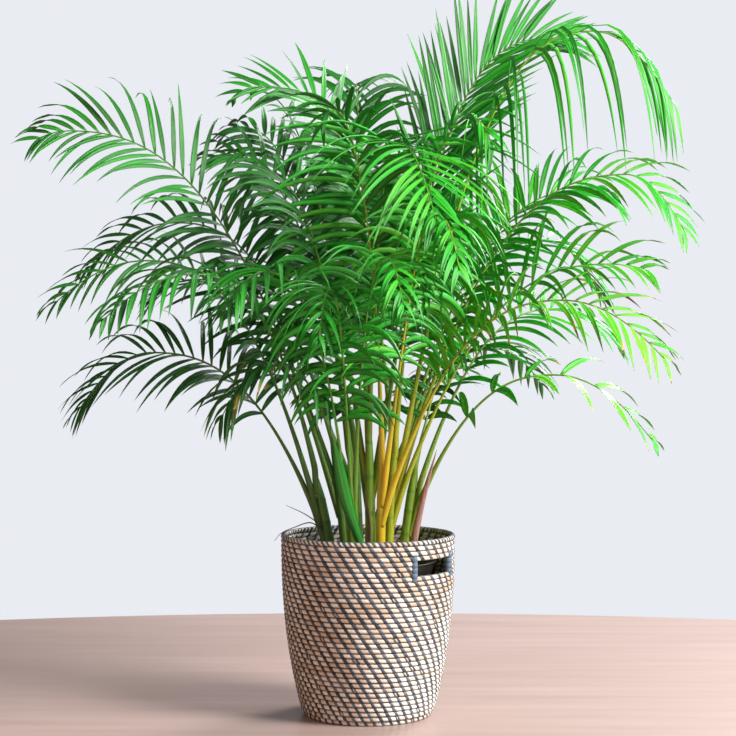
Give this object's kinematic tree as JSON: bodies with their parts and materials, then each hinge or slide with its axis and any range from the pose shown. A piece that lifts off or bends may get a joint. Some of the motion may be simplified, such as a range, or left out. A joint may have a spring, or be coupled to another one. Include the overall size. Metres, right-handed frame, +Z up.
{
  "type": "potted palm",
  "caption": "Tall feather-leaved palm with arching fronds on clustered canes, standing in a round coiled basket with slot handles.",
  "frame": {"origin": "centre of the basket's flat base, on the surface it stands on", "axes": "+Z up through the middle of the basket; -Y towards the viewer, who sees one handle slot at the right; +X to the right"},
  "size_m": [1.2018, 0.8922, 1.4053],
  "materials": {
    "coiled_cane": "satin",
    "handle_binding": "satin",
    "plastic": "matte",
    "soil": "matte",
    "stem": "satin",
    "dry_sheath": "matte",
    "leaf": "satin"
  },
  "bodies": {
    "root": {"basket": "coiled_cane", "rim_coil": "coiled_cane", "handle_binding_front_left": "handle_binding", "handle_binding_front_right": "handle_binding", "handle_binding_back_right": "handle_binding", "handle_binding_back_left": "handle_binding", "drip_saucer": "plastic", "nursery_pot": "plastic", "soil": "soil", "cane_left": "stem", "cane_left_inner": "stem", "cane_front_left": "stem", "cane_back_left": "stem", "cane_middle": "stem", "cane_front_right": "stem", "cane_right_inner": "stem", "cane_right": "stem", "cane_back_right": "stem", "cane_back": "stem", "dry_sheath_narrow": "dry_sheath", "dry_sheath_broad": "dry_sheath", "dry_fibre_bent": "dry_sheath", "dry_fibre_straight": "dry_sheath", "spear_leaf": "leaf", "frond_left_high": "leaf", "frond_left_middle": "leaf", "frond_left_level": "leaf", "frond_left_front": "leaf", "frond_left_low": "leaf", "frond_left_small": "leaf", "frond_left_back": "leaf", "frond_upper_left": "leaf", "frond_upper_back_left": "leaf", "frond_top_left": "leaf", "frond_top_sprig": "leaf", "frond_top_back": "leaf", "frond_top_right": "leaf", "frond_right_high": "leaf", "frond_front_high": "leaf", "frond_front_right": "leaf", "frond_front_middle": "leaf", "frond_front_low": "leaf", "frond_front_left": "leaf", "frond_right_arch": "leaf", "frond_right_dense": "leaf", "frond_right_upright": "leaf", "frond_right_front": "leaf", "frond_right_low": "leaf", "frond_right_small": "leaf", "frond_right_back": "leaf", "frond_right_far": "leaf", "frond_back_left": "leaf", "frond_back_right": "leaf", "frond_back_high": "leaf", "frond_back_low": "leaf", "frond_left_inner_high": "leaf", "frond_centre_high": "leaf", "frond_right_inner_high": "leaf", "frond_left_hanging": "leaf"}
  },
  "joints": []
}
